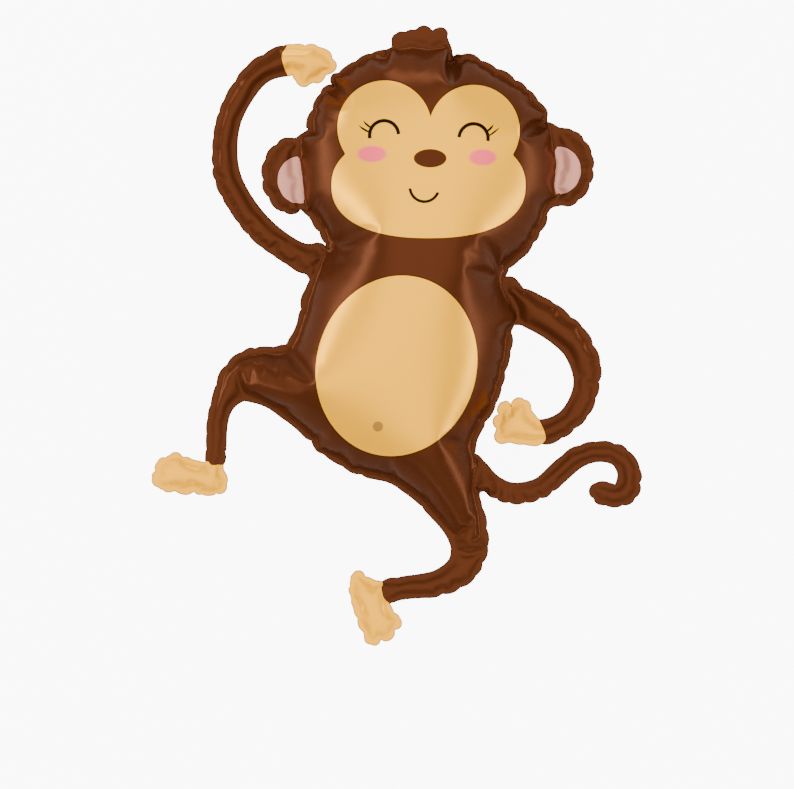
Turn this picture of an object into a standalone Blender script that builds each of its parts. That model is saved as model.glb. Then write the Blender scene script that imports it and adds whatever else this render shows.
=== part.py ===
"""Monkey foil balloon, blown up and lying on its back.

Metres, +Z up, face upwards, head towards +Y. The origin is on the ground, under the middle of the outline.
Two printed foil sheets are welded along one outline. Where an ear, an arm, the tail, a foot or the tuft
joins the body, a crease holds the sheets close together. The outline is drawn in hundredths of the
balloon's height, with zero at its middle: across is +X, up is +Y.
"""

import math

import bmesh
import bpy
import numpy as np
from mathutils import Matrix, Vector
from mathutils.geometry import delaunay_2d_cdt

HEIGHT = 0.760
GRID = HEIGHT / 100

# How far the gas pushes the sheets apart, as a share of a freely stretching membrane's height.
FULLNESS = 0.88
# Half the thickness that a crease leaves between the sheets.
CREASE_HALF_THICKNESS = 0.0045
# The back is pressed flat this deep under the shallower of head and torso.
REST_FLAT_DEPTH = 0.0035
# A hand stops this far from the body that it nearly touches.
HAND_GAP = 0.0027

# A chain is a row of round stations: across, up, half width.
TORSO = ((1.6, 0.9, 17.45), (0.5, -3.9, 17.35), (-0.2, -7.1, 16.5))
LEFT_LEG = (
    (-7.5, -11.4, 7.8), (-12.3, -9.0, 6.9), (-17.1, -7.6, 5.5), (-21.6, -6.3, 4.6),
    (-25.0, -7.1, 3.4), (-27.3, -10.1, 2.15), (-28.6, -14.4, 1.8), (-28.8, -20.5, 1.65),
)
RIGHT_LEG = (
    (5.7, -20.2, 6.5), (9.5, -27.0, 4.4), (11.4, -31.0, 3.5), (12.0, -34.2, 3.0),
    (10.7, -37.6, 2.6), (7.0, -39.8, 2.25), (2.2, -40.5, 1.95), (-2.6, -41.1, 1.9),
)
RAISED_ARM = (
    (-10.6, 10.7, 3.1), (-13.6, 11.9, 2.6), (-17.5, 13.85, 2.2), (-21.6, 16.95, 2.25),
    (-24.9, 21.2, 2.2), (-27.0, 25.4, 2.25), (-27.4, 29.8, 2.1), (-26.7, 34.6, 2.05),
    (-24.5, 39.1, 2.15), (-21.6, 42.4, 2.25), (-17.6, 44.3, 2.5),
)
LOWERED_ARM = (
    (17.4, 5.5, 3.7), (21.4, 4.15, 3.0), (25.2, 2.0, 2.85), (28.9, -1.3, 2.65),
    (30.6, -5.0, 2.5), (30.7, -8.2, 2.15), (29.6, -11.4, 2.15), (27.6, -13.8, 2.0),
    (25.2, -15.3, 2.05), (23.0, -15.9, 2.1),
)
TAIL = (
    (12.4, -21.6, 2.4), (15.6, -24.2, 1.85), (19.0, -25.5, 1.8), (23.3, -24.6, 1.8),
    (26.2, -22.1, 1.85), (29.3, -19.6, 1.85), (32.8, -18.7, 1.75), (35.9, -19.4, 1.8),
    (37.7, -22.1, 1.85), (37.3, -25.0, 1.95), (35.4, -26.0, 1.8), (33.1, -25.3, 2.0),
)

# A cluster is round lobes that run into one another: across, up, radius.
RAISED_HAND = (
    (-15.2, 44.3, 2.6), (-13.5, 44.0, 2.8), (-11.6, 44.4, 1.6), (-14.6, 41.2, 1.5), (-12.4, 41.6, 1.25),
    (-11.0, 42.5, 1.2), (-10.3, 43.3, 1.0), (-17.0, 42.9, 1.0),
)
LOWERED_HAND = (
    (19.9, -14.6, 3.0), (22.4, -15.9, 1.9), (20.2, -11.6, 1.6), (17.0, -11.5, 1.1), (16.6, -13.8, 1.1),
    (17.2, -16.2, 1.4), (18.2, -12.8, 1.1), (17.7, -14.8, 1.1), (20.9, -16.6, 1.3),
)
LEFT_FOOT = (
    (-35.6, -22.5, 2.6), (-32.6, -22.8, 2.4), (-29.3, -23.4, 2.5), (-35.5, -19.8, 1.2), (-37.5, -20.9, 1.2),
    (-38.1, -23.1, 1.2), (-36.9, -24.3, 1.1), (-33.9, -24.7, 1.1), (-30.9, -24.9, 1.1), (-28.3, -24.3, 1.2),
    (-28.4, -22.0, 1.0), (-33.6, -20.7, 1.2), (-32.0, -21.3, 1.2), (-30.6, -21.7, 1.2),
)
RIGHT_FOOT = (
    (-4.7, -41.2, 2.5), (-4.2, -44.1, 2.6), (-3.4, -46.7, 2.2), (-6.0, -39.0, 1.2), (-6.8, -40.6, 1.0),
    (-6.4, -42.6, 1.0), (-3.7, -48.8, 1.2), (-1.3, -48.0, 1.2), (-0.1, -46.0, 1.2), (-1.4, -44.4, 1.1),
    (-4.6, -46.0, 1.6), (-1.3, -47.0, 1.0), (-2.1, -43.2, 1.0),
)
TUFT = (
    (0.6, 47.4, 1.4), (2.6, 47.9, 1.2), (4.6, 48.5, 1.3), (7.4, 48.1, 1.3), (7.8, 47.0, 0.9),
    (4.2, 46.6, 2.3), (1.8, 46.4, 1.4), (6.8, 46.5, 1.4), (6.0, 47.8, 1.0),
)

# An oval is its middle, half width, half height, squareness and turn in degrees.
HEAD = ((5.3, 27.0), 20.9, 19.0, 2.28, -14.0)
LEFT_EAR = ((-16.3, 25.6), 5.35, 6.4, 2.0, 0.0)
RIGHT_EAR = ((26.7, 26.9), 5.3, 6.5, 2.0, 0.0)

NECK_FILLET = 2.0 * GRID
HIP_FILLET = 2.5 * GRID
LOBE_FILLET = 0.5 * GRID

# Each crease runs along the first part's outline, where the second covers it.
CREASES = (
    ("trunk", "left_ear"), ("trunk", "right_ear"), ("trunk", "tuft"), ("trunk", "raised_arm"),
    ("trunk", "lowered_arm"), ("trunk", "tail"), ("left_foot", "trunk"), ("right_foot", "trunk"),
)
CREAM_PARTS = ("raised_hand", "lowered_hand", "left_foot", "right_foot")

# Fineness of the model.
STATION_STEPS = 10
CONTOUR_CELL = HAND_GAP / 2
CONTOUR_MARGIN = 2
OUTLINE_STEP = 1.25 * GRID
OUTLINE_SAG = 0.045 * GRID
CREASE_STEP = 0.95 * GRID
RIM_DEPTH = 0.45 * GRID
FINE_PITCH = 1.40 * GRID
COARSE_PITCH = 2.50 * GRID
COARSE_DEPTH = 5.0 * GRID
SPACING_SHARE = 0.62
MERGE_DISTANCE = CONTOUR_CELL / 1000

FOIL_ROUGHNESS = 0.28
BROWN = (0.160, 0.042, 0.012, 1.0)
CREAM = (0.820, 0.540, 0.230, 1.0)


def oval_field(points, shape):
    """Rough distance from each point to an oval, negative inside."""
    centre, half_width, half_height, power, turn = shape
    cos, sin = math.cos(math.radians(turn)), math.sin(math.radians(turn))
    x, y = (points - np.array(centre) * GRID).T
    across = np.abs(x * cos + y * sin) / (half_width * GRID)
    up = np.abs(y * cos - x * sin) / (half_height * GRID)
    reach = (across**power + up**power) ** (1 / power)
    return (reach - 1) * min(half_width, half_height) * GRID


def smooth_stations(chain):
    """The chain's stations with more between them, on one smooth curve through them all."""
    knots = np.array([chain[0], *chain, chain[-1]], float)
    steps = np.linspace(0, 1, STATION_STEPS, endpoint=False)[:, None]
    spans = []
    for a, b, c, d in zip(knots, knots[1:], knots[2:], knots[3:]):
        spans.append(
            b
            + (c - a) * steps / 2
            + (a - 2.5 * b + 2 * c - d / 2) * steps**2
            + (1.5 * (b - c) + (d - a) / 2) * steps**3
        )
    return np.vstack([*spans, knots[-1:]]) * GRID


def chain_field(points, chain):
    """Distance from each point to a chain, negative inside."""
    field = np.full(len(points), np.inf)
    for x, y, radius in smooth_stations(chain):
        field = np.minimum(field, np.hypot(points[:, 0] - x, points[:, 1] - y) - radius)
    return field


def smooth_union(a, b, fillet):
    """The lesser of two fields, with a fillet where they meet."""
    blend = np.clip(0.5 + (b - a) / (2 * fillet), 0, 1)
    return b + (a - b) * blend - fillet * blend * (1 - blend)


def cluster_field(points, lobes):
    """Distance from each point to a cluster, negative inside."""
    field = np.full(len(points), 1.0)
    for x, y, radius in np.array(lobes) * GRID:
        lobe = np.hypot(points[:, 0] - x, points[:, 1] - y) - radius
        field = smooth_union(field, lobe, LOBE_FILLET)
    return field


def part_fields(points):
    """Distance from each point to each part of the figure, and to each hand as part of its arm."""
    head = oval_field(points, HEAD)
    torso = chain_field(points, TORSO)
    trunk = smooth_union(head, torso, NECK_FILLET)
    for leg in (LEFT_LEG, RIGHT_LEG):
        trunk = smooth_union(trunk, chain_field(points, leg), HIP_FILLET)
    raised_hand = np.maximum(cluster_field(points, RAISED_HAND), HAND_GAP - head)
    lowered_hand = np.maximum(cluster_field(points, LOWERED_HAND), HAND_GAP - torso)
    return {
        "trunk": trunk,
        "raised_arm": smooth_union(chain_field(points, RAISED_ARM), raised_hand, LOBE_FILLET),
        "lowered_arm": smooth_union(chain_field(points, LOWERED_ARM), lowered_hand, LOBE_FILLET),
        "tail": chain_field(points, TAIL),
        "left_ear": oval_field(points, LEFT_EAR),
        "right_ear": oval_field(points, RIGHT_EAR),
        "tuft": cluster_field(points, TUFT),
        "left_foot": cluster_field(points, LEFT_FOOT),
        "right_foot": cluster_field(points, RIGHT_FOOT),
        "raised_hand": raised_hand,
        "lowered_hand": lowered_hand,
    }


def balloon_field(fields):
    return np.min(list(fields.values()), axis=0)


def contour_grid():
    """Grid points, as columns by rows by two, that cover the whole outline."""
    circles = [*TORSO, *LEFT_LEG, *RIGHT_LEG, *RAISED_ARM, *LOWERED_ARM, *TAIL]
    circles += [*RAISED_HAND, *LOWERED_HAND, *LEFT_FOOT, *RIGHT_FOOT, *TUFT]
    for centre, half_width, half_height, _, _ in (HEAD, LEFT_EAR, RIGHT_EAR):
        circles.append((*centre, max(half_width, half_height)))
    circles = np.array(circles) * GRID
    margin = CONTOUR_MARGIN * CONTOUR_CELL
    low = (circles[:, :2] - circles[:, 2:]).min(0) - margin
    high = (circles[:, :2] + circles[:, 2:]).max(0) + margin
    columns = np.arange(low[0], high[0], CONTOUR_CELL)
    rows = np.arange(low[1], high[1], CONTOUR_CELL)
    return np.stack(np.meshgrid(columns, rows, indexing="ij"), axis=2)


def zero_loops(grid, values):
    """Closed loops of points where the values on the grid are zero, with the negative side on their left."""
    inside = values < 0
    mixed = inside[:-1, :-1].astype(int) + inside[1:, :-1] + inside[1:, 1:] + inside[:-1, 1:]
    follows = {}
    places = {}
    for i, j in np.argwhere((mixed > 0) & (mixed < 4)):
        corners = ((i, j), (i + 1, j), (i + 1, j + 1), (i, j + 1))
        keys = ((i, j, 0), (i + 1, j, 1), (i, j + 1, 0), (i, j, 1))
        leaving, entering = [], []
        for side, key in enumerate(keys):
            start, end = corners[side], corners[(side + 1) % 4]
            if inside[start] == inside[end]:
                continue
            share = values[start] / (values[start] - values[end])
            places[key] = grid[start] + (grid[end] - grid[start]) * share
            (leaving if inside[start] else entering).append((side, key))
        for side, key in leaving:
            follows[key] = min(entering, key=lambda crossing: (crossing[0] - side) % 4)[1]
    loops = []
    while follows:
        key = next(iter(follows))
        loop = []
        while key in follows:
            loop.append(places[key])
            key = follows.pop(key)
        loops.append(np.array(loop))
    return loops


def sag_below(points, start, end):
    """Whether the chord from one point of a closed loop to another stays within the sag and the step."""
    chord = points[end % len(points)] - points[start]
    length = np.hypot(*chord)
    between = points[np.arange(start + 1, end) % len(points)] - points[start]
    doubled_area = np.abs(between[:, 0] * chord[1] - between[:, 1] * chord[0]).max(initial=0)
    return length < OUTLINE_STEP and doubled_area < OUTLINE_SAG * length


def thin_loop(points):
    """The loop with only as many points as its bends need."""
    kept = [0]
    while True:
        end = kept[-1] + 2
        while end <= len(points) and sag_below(points, kept[-1], end):
            end += 1
        if end > len(points):
            return points[kept]
        kept.append(end - 1)


def covered_runs(loop, covered):
    """The stretches of a closed loop where the flag is set."""
    if covered.all() or not covered.any():
        return []
    first = int(np.argmin(covered))
    loop, covered = np.roll(loop, -first, 0), np.roll(covered, -first)
    changes = np.flatnonzero(np.diff(np.concatenate([[0], covered.astype(int), [0]])))
    return [loop[start:end] for start, end in changes.reshape(-1, 2)]


def even_points(run):
    """Evenly spaced points along a stretch, without its two ends."""
    lengths = np.concatenate([[0], np.cumsum(np.hypot(*np.diff(run, axis=0).T))])
    count = max(2, round(lengths[-1] / CREASE_STEP))
    places = np.linspace(0, lengths[-1], count + 1)[1:-1]
    return np.stack([np.interp(places, lengths, run[:, axis]) for axis in (0, 1)], 1)


def crease_lines(grid, fields):
    """The points of each crease, in order along it."""
    lines = []
    for edge_of, covered_by in CREASES:
        for loop in zero_loops(grid, fields[edge_of]):
            covered = part_fields(loop)[covered_by] < 0
            lines += [even_points(run) for run in covered_runs(loop, covered) if len(run) > 2]
    return lines


def hex_points(low, high, pitch):
    """A grid of equilateral triangles' corners over a rectangle."""
    row_pitch = pitch * math.sqrt(3) / 2
    points = []
    for row, y in enumerate(np.arange(low[1], high[1], row_pitch)):
        for x in np.arange(low[0] + (row % 2) * pitch / 2, high[0], pitch):
            points.append((x, y))
    return np.array(points)


def spaced(candidates, taken, gap):
    """The candidates that keep a gap to the points taken already and to each other."""
    kept = np.array(taken)
    added = []
    for point in candidates:
        if np.hypot(*(kept - point).T).min() > gap:
            kept = np.vstack([kept, point])
            added.append(point)
    return added


def inner_points(outline, creases):
    """Points inside the outline: a ring near the rim, a fine grid, and a coarse one where it is wide."""
    along = np.roll(outline, -1, 0) - np.roll(outline, 1, 0)
    inward = np.stack([-along[:, 1], along[:, 0]], 1) / np.hypot(*along.T)[:, None]
    ring = outline + inward * RIM_DEPTH
    ring = ring[balloon_field(part_fields(ring)) < -SPACING_SHARE * RIM_DEPTH]
    taken = [*outline, *creases]
    taken += spaced(ring, taken, SPACING_SHARE * RIM_DEPTH)
    for pitch, least_depth, greatest_depth in (
        (FINE_PITCH, RIM_DEPTH + FINE_PITCH / 2, COARSE_DEPTH),
        (COARSE_PITCH, COARSE_DEPTH, math.inf),
    ):
        grid = hex_points(outline.min(0), outline.max(0), pitch)
        depth = -balloon_field(part_fields(grid))
        grid = grid[(depth > least_depth) & (depth <= greatest_depth)]
        taken += spaced(grid, taken, SPACING_SHARE * pitch)
    return taken[len(outline) + len(creases):]


def triangulate(outline, lines, extra):
    """Triangles over the outline, and the marks of its points: 0 inside, 1 on a crease, 2 on the seam."""
    points = [*outline]
    edges = []
    for line in lines:
        first = len(points)
        points += [*line]
        edges += [(index, index + 1) for index in range(first, len(points) - 1)]
    crease_end = len(points)
    points += extra
    flat, _, triangles, sources, _, _ = delaunay_2d_cdt(
        [Vector(point) for point in points], edges, [list(range(len(outline)))], 1, MERGE_DISTANCE
    )
    marks = [2 if min(ids) < len(outline) else int(min(ids) < crease_end) for ids in sources]
    return np.array([tuple(point) for point in flat]), np.array(triangles), np.array(marks)


def flat_mesh():
    """A flat mesh of the balloon with no edge that crosses it from seam to seam."""
    grid = contour_grid()
    fields = {name: field.reshape(grid.shape[:2]) for name, field in part_fields(grid.reshape(-1, 2)).items()}
    outline = thin_loop(max(zero_loops(grid, balloon_field(fields)), key=len))
    lines = crease_lines(grid, fields)
    extra = inner_points(outline, np.vstack(lines))
    while True:
        flat, triangles, marks = triangulate(outline, lines, extra)
        sides = np.sort(np.vstack([triangles[:, (0, 1)], triangles[:, (1, 2)], triangles[:, (2, 0)]]), axis=1)
        sides, uses = np.unique(sides, axis=0, return_counts=True)
        bridges = sides[(uses == 2) & (marks[sides] == 2).all(1)]
        if not len(bridges):
            return flat, triangles, marks
        extra = extra + [*flat[bridges].mean(1)]


def blown_height(flat, triangles, marks):
    """Each point's height over the seam, as a membrane under pressure that seam and creases hold."""
    count = len(flat)
    stiffness = np.zeros((count, count))
    load = np.zeros(count)
    for corner in range(3):
        a, b, c = (triangles[:, (corner + turn) % 3] for turn in range(3))
        to_b, to_c = flat[b] - flat[a], flat[c] - flat[a]
        double_area = to_b[:, 0] * to_c[:, 1] - to_b[:, 1] * to_c[:, 0]
        pull = (to_b * to_c).sum(1) / double_area / 2
        np.add.at(stiffness, (b, c), -pull)
        np.add.at(stiffness, (c, b), -pull)
        np.add.at(stiffness, (b, b), pull)
        np.add.at(stiffness, (c, c), pull)
        np.add.at(load, a, double_area / 3)
    square = np.where(marks == 1, (CREASE_HALF_THICKNESS / FULLNESS) ** 2, 0.0)
    free = marks == 0
    pushed = load[free] - stiffness[np.ix_(free, ~free)] @ square[~free]
    square[free] = np.linalg.solve(stiffness[np.ix_(free, free)], pushed)
    return FULLNESS * np.sqrt(square)


def rest_plane(flat, height):
    """How far the ground is under the seam: head and torso both reach it."""
    peaks = [height[oval_field(flat, HEAD) < 0].max(), height[chain_field(flat, TORSO) < 0].max()]
    return min(peaks) - REST_FLAT_DEPTH


def foil(name, colour):
    material = bpy.data.materials.new(name)
    material.use_nodes = True
    shader = material.node_tree.nodes["Principled BSDF"]
    shader.inputs["Base Color"].default_value = colour
    shader.inputs["Roughness"].default_value = FOIL_ROUGHNESS
    shader.inputs["Metallic"].default_value = 0.0
    return material


def paint(mesh):
    """Brown foil, with cream hands and feet."""
    mesh.materials.append(foil("brown_foil", BROWN))
    mesh.materials.append(foil("cream_foil", CREAM))
    middles = np.array([tuple(polygon.center) for polygon in mesh.polygons])[:, :2]
    fields = part_fields(middles)
    cream = np.min([fields[name] for name in CREAM_PARTS], axis=0) < 0
    for polygon, is_cream in zip(mesh.polygons, cream):
        polygon.material_index = int(is_cream)
        polygon.use_smooth = True


def balloon_envelope():
    """Front and back sheet in one closed body, flat where it lies on the ground."""
    flat, triangles, marks = flat_mesh()
    height = blown_height(flat, triangles, marks)
    ground = rest_plane(flat, height)
    bm = bmesh.new()
    front = [bm.verts.new((x, y, z + ground)) for (x, y), z in zip(flat, height)]
    back = [
        front[index] if marks[index] == 2 else bm.verts.new((*flat[index], ground - height[index]))
        for index in range(len(flat))
    ]
    for a, b, c in triangles:
        bm.faces.new((front[a], front[b], front[c]))
        bm.faces.new((back[c], back[b], back[a]))
    cut = bmesh.ops.bisect_plane(
        bm, geom=[*bm.verts, *bm.edges, *bm.faces], dist=MERGE_DISTANCE, plane_co=(0, 0, 0),
        plane_no=(0, 0, -1), clear_outer=True,
    )
    rims = [piece for piece in cut["geom_cut"] if isinstance(piece, bmesh.types.BMEdge)]
    bmesh.ops.contextual_create(bm, geom=rims)
    bmesh.ops.recalc_face_normals(bm, faces=bm.faces)
    mesh = bpy.data.meshes.new("balloon_envelope")
    bm.to_mesh(mesh)
    bm.free()
    paint(mesh)
    middle = (flat.min(0) + flat.max(0)) / 2
    mesh.transform(Matrix.Translation((-middle[0], -middle[1], 0)))
    return bpy.data.objects.new("balloon_envelope", mesh)


def main():
    for old in list(bpy.data.objects):
        bpy.data.objects.remove(old)
    bpy.context.scene.collection.objects.link(balloon_envelope())


if __name__ == "__main__":
    main()
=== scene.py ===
"""Looks of the monkey foil balloon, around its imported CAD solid.

The solid gives the outline and the creases. Two sheets of foil are cut to a flat pattern that fits them, and
blown up in a small cloth simulation, so that the seam gathers into puckers. Lengths are in metres.
"""

import math

import bpy
import numpy as np
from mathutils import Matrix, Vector
from mathutils.geometry import delaunay_2d_cdt
from mathutils.kdtree import KDTree


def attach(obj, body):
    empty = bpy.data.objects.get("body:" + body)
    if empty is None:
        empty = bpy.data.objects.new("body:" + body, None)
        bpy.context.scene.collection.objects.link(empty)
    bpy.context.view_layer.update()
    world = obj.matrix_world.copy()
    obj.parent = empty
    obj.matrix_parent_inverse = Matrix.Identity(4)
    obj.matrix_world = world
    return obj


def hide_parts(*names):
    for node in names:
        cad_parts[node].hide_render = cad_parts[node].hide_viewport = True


NODE = "balloon_envelope"
SEED = 7

# Reading the CAD solid.
SAME_PLACE = 2e-5
CAD_CREASE_HALF_THICKNESS = 0.0045
ROUNDING = 1e6
TINY = 1e-9

# Fineness of the sheets.
SEAM_STEP = 0.0040
FINE_PITCH = 0.0040
WIDE_PITCH = 0.0056
WIDE_DEPTH = 0.020
SEAM_CLEARANCE = 0.75 * FINE_PITCH
CREASE_CLEARANCE = 0.6
CURVE_STEPS = 12
TRIANGLES_INSIDE = 1
MERGE_GAP = 1e-7
SOLVER_ACCURACY = 1e-14
SMOOTHING_REACH = 3

# The flat pattern is larger than the blown-up outline by this share of the membrane's slope at its edge.
PATTERN_GROWTH = 0.295
STEEPEST = 0.17
SLOPE_SMOOTHING = 0.008
GROWTH_SMOOTHING = 0.005

# Blowing up.
STEPS = 1500
FIX_STEPS = (450, 750, 1050)
PRESSURE = 0.02
BEND_STIFFNESS = 0.08
SQUEEZE_STIFFNESS = 0.6
DAMPING = 0.985
TOP_SPEED = 0.0006
START_RISE = 0.15
START_NOISE = 0.0003
MEMBRANE_RISE = 0.86
CREASE_HALF_THICKNESS = 0.0022
LEAST_STRETCH = 0.6
SHORTEST_BEND = FINE_PITCH / 4
POSE_SMOOTHING = 0.022
LAST_SMOOTHING = 0.010
# Where the flat pattern is this much longer, the seam is drawn in at cusps, with a groove from each.
CUSP_GAPS = (0.015, 0.028)
CUSP_DEPTH = 0.0034
CUSP_SHARES = (0.3, 1.0)
CUSP_EXCESS = 0.10
GROOVE_LENGTH = 0.009
GROOVE_SINK = 0.30
# The welded seam stays nearly level, so that it gathers sideways, into scallops.
SEAM_LEVELLING = 0.10

# The welded rim outside the seam.
RIM_WIDTH = 0.0022
RIM_HALF_THICKNESS = 0.00015
RIM_CLEARANCE = 0.45
RIM_NEIGHBOURS = 4
RIM_FLATTENING = 0.5
RIM_SMOOTHING = 0.002

PHOTO_SIZE = (794, 789)
METRES_PER_PIXEL = 0.760 / 623
OUTLINE_MIDDLE_PIXEL = (396.5, 335.5)
CAMERA_DISTANCE = 30.0
SENSOR_WIDTH = 36.0
FARTHEST_SEEN = 100

FLOOR_HALF = 6.0
FLOOR_GREY = (0.35, 0.35, 0.35, 1)
FLOOR_ROUGHNESS = 0.9
FLOOR_GLOW = 9.0
CEILING_FADE = (0.42, 0.97)
CEILING_GLOW = (0.15, 3.5)
LIGHT_AIM_HEIGHT = 0.1
# Each light's place, its length and width, and its power.
LIGHTS = {
    "left_light": ((-2.2, 0.25, 0.42), (2.6, 0.6), 58),
    "right_light": ((2.2, 0.15, 0.38), (2.6, 0.5), 44),
    "head_light": ((0.0, 2.3, 0.6), (1.6, 0.5), 26),
    "foot_light": ((0.1, -2.3, 0.7), (1.6, 0.5), 10),
}


def place(across, up):
    """A point of the print, in millimetres from the outline's middle."""
    return np.array((across, up)) / 1000


def closed_loop(pairs):
    """The points of a closed loop, in order, from its edges."""
    beside = {}
    for a, b in pairs:
        beside.setdefault(a, []).append(b)
        beside.setdefault(b, []).append(a)
    loop = [min(beside)]
    before = None
    while True:
        after = [point for point in beside[loop[-1]] if point != before][0]
        if after == loop[0]:
            return loop
        before = loop[-1]
        loop.append(after)


def open_paths(pairs):
    """The points of each open path, in order, from all their edges."""
    beside = {}
    for a, b in pairs:
        beside.setdefault(a, []).append(b)
        beside.setdefault(b, []).append(a)
    left = set(beside)
    paths = []
    for end in [point for point in beside if len(beside[point]) == 1]:
        if end not in left:
            continue
        path = []
        ahead = [end]
        while ahead:
            path.append(ahead[0])
            left.discard(ahead[0])
            ahead = [point for point in beside[path[-1]] if point in left]
        paths.append(path)
    return paths


def unique_edges(triangles):
    sides = np.vstack([triangles[:, (0, 1)], triangles[:, (1, 2)], triangles[:, (2, 0)]])
    return np.unique(np.sort(sides, axis=1), axis=0, return_counts=True)


def read_solid(node):
    """The CAD solid's outline, anticlockwise, its creases, and the seam's height over the ground."""
    mesh = node.data
    mesh.calc_loop_triangles()
    corners = np.empty(len(mesh.vertices) * 3)
    mesh.vertices.foreach_get("co", corners)
    triangles = np.empty(len(mesh.loop_triangles) * 3, int)
    mesh.loop_triangles.foreach_get("vertices", triangles)
    rounded = np.round(corners.reshape(-1, 3) * ROUNDING).astype(np.int64)
    points, same = np.unique(rounded, axis=0, return_inverse=True)
    points = points / ROUNDING
    edges, _ = unique_edges(same.reshape(-1)[triangles].reshape(-1, 3))
    heights, counts = np.unique(np.round(points[:, 2] / SAME_PLACE), return_counts=True)
    seam_height = heights[counts.argmax()] * SAME_PLACE
    on_seam = np.abs(points[:, 2] - seam_height) < 2 * SAME_PLACE
    outline = points[closed_loop(edges[on_seam[edges].all(1)].tolist()), :2]
    ahead = np.roll(outline, -1, 0)
    if (outline[:, 0] * ahead[:, 1] - outline[:, 1] * ahead[:, 0]).sum() < 0:
        outline = outline[::-1]
    on_crease = np.abs(points[:, 2] - seam_height - CAD_CREASE_HALF_THICKNESS) < 2 * SAME_PLACE
    creases = [points[path, :2] for path in open_paths(edges[on_crease[edges].all(1)].tolist())]
    return outline, creases, points[on_seam, 2].mean()


def smooth_curve(points, step, closed):
    """Evenly spaced points on a smooth curve through the points."""
    around = [points[-1:], points, points[:2]] if closed else [points[:1], points, points[-1:]]
    knots = np.vstack(around)
    share = np.linspace(0, 1, CURVE_STEPS, endpoint=False)[:, None]
    spans = []
    for a, b, c, d in zip(knots, knots[1:], knots[2:], knots[3:]):
        spans.append(
            b
            + (c - a) * share / 2
            + (a - 2.5 * b + 2 * c - d / 2) * share**2
            + (1.5 * (b - c) + (d - a) / 2) * share**3
        )
    curve = np.vstack([*spans, points[:1] if closed else points[-1:]])
    lengths = np.concatenate([[0], np.cumsum(np.hypot(*np.diff(curve, axis=0).T))])
    places = np.linspace(0, lengths[-1], max(3, round(lengths[-1] / step)) + 1)
    if closed:
        places = places[:-1]
    return np.stack([np.interp(places, lengths, curve[:, axis]) for axis in (0, 1)], 1)


def hex_points(low, high, pitch):
    rows = np.arange(low[1], high[1], pitch * math.sqrt(3) / 2)
    points = []
    for row, y in enumerate(rows):
        across = np.arange(low[0] + (row % 2) * pitch / 2, high[0], pitch)
        points.append(np.stack([across, np.full(len(across), y)], 1))
    return np.vstack(points)


def inside_loop(points, loop):
    x, y = points.T
    inside = np.zeros(len(points), bool)
    for (x0, y0), (x1, y1) in zip(loop, np.roll(loop, -1, 0)):
        if y0 != y1:
            crossed = (y0 > y) != (y1 > y)
            inside ^= crossed & (x < x0 + (y - y0) * (x1 - x0) / (y1 - y0))
    return inside


def line_distance(points, line):
    """Distance from each point to a line of points."""
    nearest = np.full(len(points), np.inf)
    for start, end in zip(line, line[1:]):
        along = end - start
        share = np.clip((points - start) @ along / (along @ along), 0, 1)
        away = points - start - share[:, None] * along
        nearest = np.minimum(nearest, (away * away).sum(1))
    return np.sqrt(nearest)


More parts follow.
